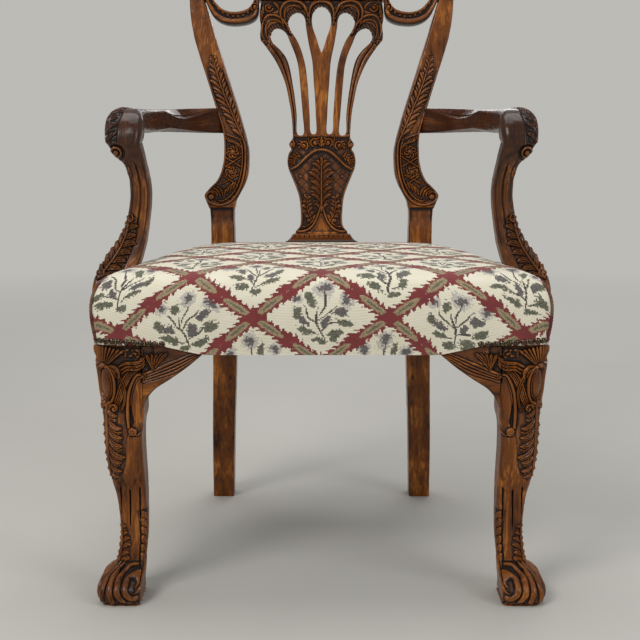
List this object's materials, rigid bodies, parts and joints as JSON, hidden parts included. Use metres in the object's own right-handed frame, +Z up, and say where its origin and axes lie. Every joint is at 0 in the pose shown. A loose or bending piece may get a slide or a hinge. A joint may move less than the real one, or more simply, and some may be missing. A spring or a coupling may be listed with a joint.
{
  "type": "armchair",
  "caption": "Carved walnut open armchair: pierced splat back, scrolled crest, curved arms, cabriole front legs and an overstuffed woven seat.",
  "frame": {"origin": "middle of the footprint on the floor", "axes": "+Z up, the sitter faces -Y, +X to the right when seen from the front"},
  "size_m": [0.6662, 0.572, 0.985],
  "materials": {
    "walnut": "carved walnut with a waxed satin polish and dark recesses",
    "arm_walnut": "darker hand-worn walnut, glossy on the edges",
    "beech": "unpolished beech",
    "screw_steel": "darkened steel",
    "tack_iron": "blued iron",
    "nail_brass": "antique-dark brass with rubbed highlights",
    "webbing": "woven jute webbing",
    "hessian": "open plain-weave hessian",
    "stuffing": "hair stuffing under calico",
    "tapestry": "needlepoint with a lattice of ragged burgundy leaves and small sprigs on cream",
    "dust_cloth": "thin black bottom cloth"
  },
  "bodies": {
    "root": {"front_leg_left": "walnut", "front_leg_right": "walnut", "rear_leg_left": "walnut", "rear_leg_right": "walnut", "front_bracket_left": "walnut", "front_bracket_right": "walnut", "side_bracket_left": "walnut", "side_bracket_right": "walnut", "front_rail": "beech", "rear_rail": "beech", "side_rail_left": "beech", "side_rail_right": "beech", "corner_block_front_left": "beech", "corner_block_front_right": "beech", "corner_block_rear_left": "beech", "corner_block_rear_right": "beech", "rail_pegs": "beech", "block_screws": "screw_steel", "splat_shoe": "walnut", "splat": "walnut", "crest_rail": "walnut", "arm_left": "arm_walnut", "arm_right": "arm_walnut", "arm_support_left": "walnut", "arm_support_right": "walnut", "arm_screws": "screw_steel", "arm_screw_plugs": "walnut", "support_screws": "screw_steel", "webbing_long": "webbing", "webbing_cross": "webbing", "webbing_tacks": "tack_iron", "hessian": "hessian", "seat_stuffing": "stuffing", "seat_cover": "tapestry", "corner_welt_left": "tapestry", "corner_welt_right": "tapestry", "knee_nails": "nail_brass", "dust_cover": "dust_cloth"}
  },
  "joints": []
}
